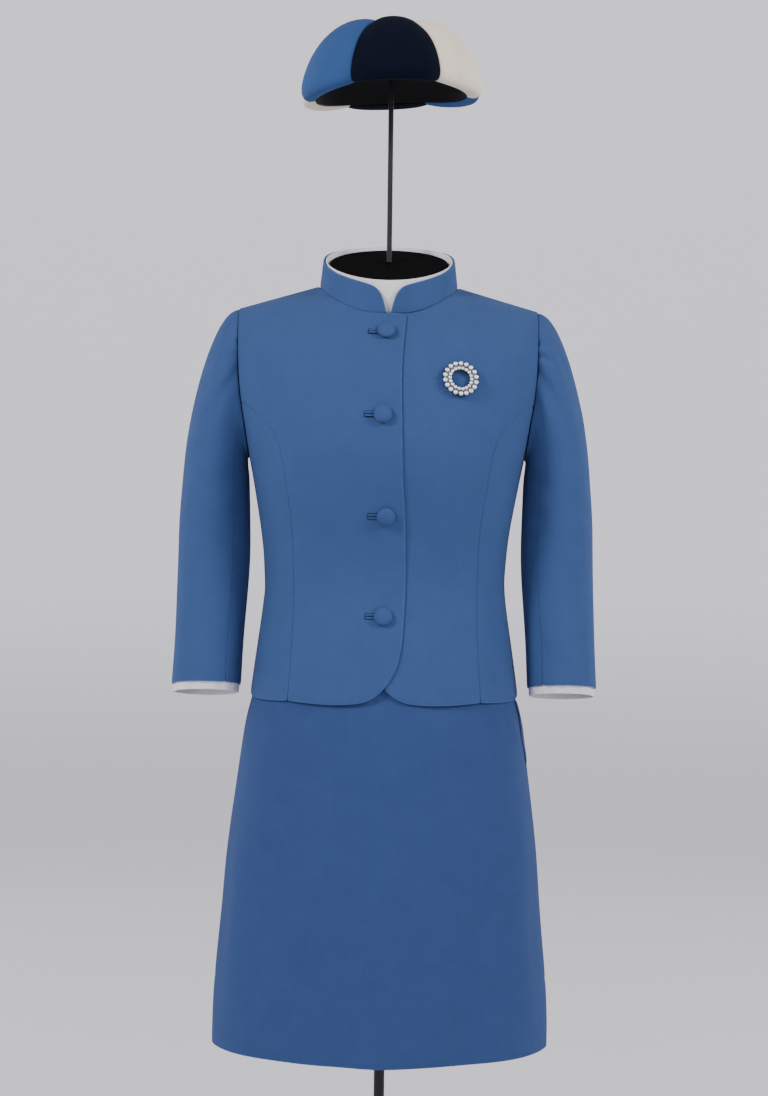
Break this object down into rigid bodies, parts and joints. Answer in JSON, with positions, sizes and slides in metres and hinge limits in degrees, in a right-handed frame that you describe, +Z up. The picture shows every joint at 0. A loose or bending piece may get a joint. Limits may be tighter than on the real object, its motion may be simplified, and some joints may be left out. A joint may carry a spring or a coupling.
{
  "type": "hostess uniform on dress form stand",
  "caption": "Blue hostess uniform, a stand-collar jacket with three-quarter sleeves, an A-line skirt and a gored cap, worn hollow on a limbless dress form on a pole stand.",
  "frame": {"origin": "middle of the base plate's underside, on the floor", "axes": "+Z up, the front of the uniform faces -Y, the wearer's left is at +X"},
  "size_m": [0.5186, 0.36, 1.703],
  "materials": {
    "jacket": "fine matte wool cloth",
    "skirt": "fine matte wool cloth",
    "blouse": "white shirting",
    "hat_navy": "matte wool cloth",
    "hat_cream": "matte wool cloth",
    "hat_blue": "matte wool cloth",
    "lining": "smooth lining cloth",
    "form": "stretched black jersey",
    "stand_metal": "black satin paint",
    "silver": "polished silver"
  },
  "bodies": {
    "root": {"base_plate": "stand_metal", "pole": "stand_metal", "hat_rod": "stand_metal", "hat_rest": "stand_metal", "dress_form": "form", "jacket_front_right": "jacket", "jacket_front_left": "jacket", "jacket_side_front_right": "jacket", "jacket_side_front_left": "jacket", "jacket_back_right": "jacket", "jacket_back_left": "jacket", "jacket_upper_sleeve_right": "jacket", "jacket_upper_sleeve_left": "jacket", "jacket_under_sleeve_right": "jacket", "jacket_under_sleeve_left": "jacket", "jacket_collar": "jacket", "button_1": "jacket", "button_2": "jacket", "button_3": "jacket", "button_4": "jacket", "buttonhole_1": "jacket", "buttonhole_2": "jacket", "buttonhole_3": "jacket", "buttonhole_4": "jacket", "blouse_neckband": "blouse", "blouse_cuff_right": "blouse", "blouse_cuff_left": "blouse", "skirt_front": "skirt", "skirt_back": "skirt", "skirt_waistband": "skirt", "skirt_zip_lap": "skirt", "hat_gore_1": "hat_navy", "hat_gore_2": "hat_cream", "hat_gore_3": "hat_blue", "hat_gore_4": "hat_navy", "hat_gore_5": "hat_cream", "hat_gore_6": "hat_blue", "hat_lining": "lining", "brooch": "silver"}
  },
  "joints": []
}
